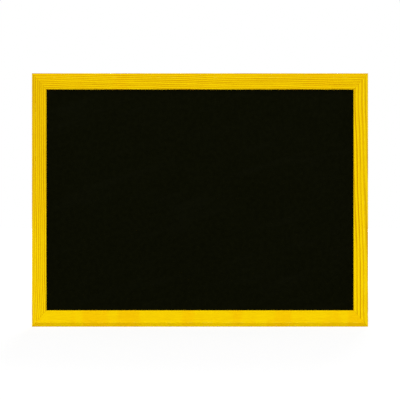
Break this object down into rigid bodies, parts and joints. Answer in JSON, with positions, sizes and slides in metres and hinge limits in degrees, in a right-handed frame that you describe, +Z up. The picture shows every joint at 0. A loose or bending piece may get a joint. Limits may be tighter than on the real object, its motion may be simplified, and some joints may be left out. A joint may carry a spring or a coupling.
{
  "type": "framed chalkboard",
  "caption": "Small wall chalkboard: dark writing sheet in a mitred yellow-stained pine frame, with swinging ring hangers and rubber bumpers on its back.",
  "frame": {"origin": "on the wall, midway between the two hooks, where they touch the inside of the rings' arches; the wall plane is the plane of the rubber bumpers' faces", "axes": "+X to the right of someone facing the writing side, +Y into the wall, +Z up; the writing side faces -Y"},
  "size_m": [0.4, 0.0195, 0.3015],
  "materials": {
    "stained_pine": "transparent yellow stain over pine grain, satin",
    "chalk_surface": "matt near-black chalk surface",
    "hardboard": "brown pressed hardboard, screen-textured back",
    "zinc_steel": "bright zinc plate",
    "rubber": "matt dark rubber"
  },
  "bodies": {
    "board": {"top_rail": "stained_pine", "bottom_rail": "stained_pine", "left_stile": "stained_pine", "right_stile": "stained_pine", "writing_sheet": "chalk_surface", "backing_board": "hardboard", "v_nail_top_left_outer": "zinc_steel", "v_nail_top_left_inner": "zinc_steel", "v_nail_top_right_outer": "zinc_steel", "v_nail_top_right_inner": "zinc_steel", "v_nail_bottom_left_outer": "zinc_steel", "v_nail_bottom_left_inner": "zinc_steel", "v_nail_bottom_right_outer": "zinc_steel", "v_nail_bottom_right_inner": "zinc_steel", "panel_point_top_1": "zinc_steel", "panel_point_top_2": "zinc_steel", "panel_point_top_3": "zinc_steel", "panel_point_bottom_1": "zinc_steel", "panel_point_bottom_2": "zinc_steel", "panel_point_bottom_3": "zinc_steel", "panel_point_left_1": "zinc_steel", "panel_point_left_2": "zinc_steel", "panel_point_right_1": "zinc_steel", "panel_point_right_2": "zinc_steel", "left_strap": "zinc_steel", "right_strap": "zinc_steel", "left_hanger_screw": "zinc_steel", "right_hanger_screw": "zinc_steel", "left_bumper": "rubber", "right_bumper": "rubber"},
    "left_ring": {"left_ring": "zinc_steel"},
    "right_ring": {"right_ring": "zinc_steel"}
  },
  "joints": [
    {"name": "left_ring_swing", "type": "hinge", "parent": "board", "child": "left_ring", "pos_m": [-0.19405, -0.00235, -0.00825], "axis": [-1, 0, 0], "range_deg": [-8, 162]},
    {"name": "right_ring_swing", "type": "hinge", "parent": "board", "child": "right_ring", "pos_m": [0.19405, -0.00235, -0.00825], "axis": [-1, 0, 0], "range_deg": [-8, 162]}
  ]
}
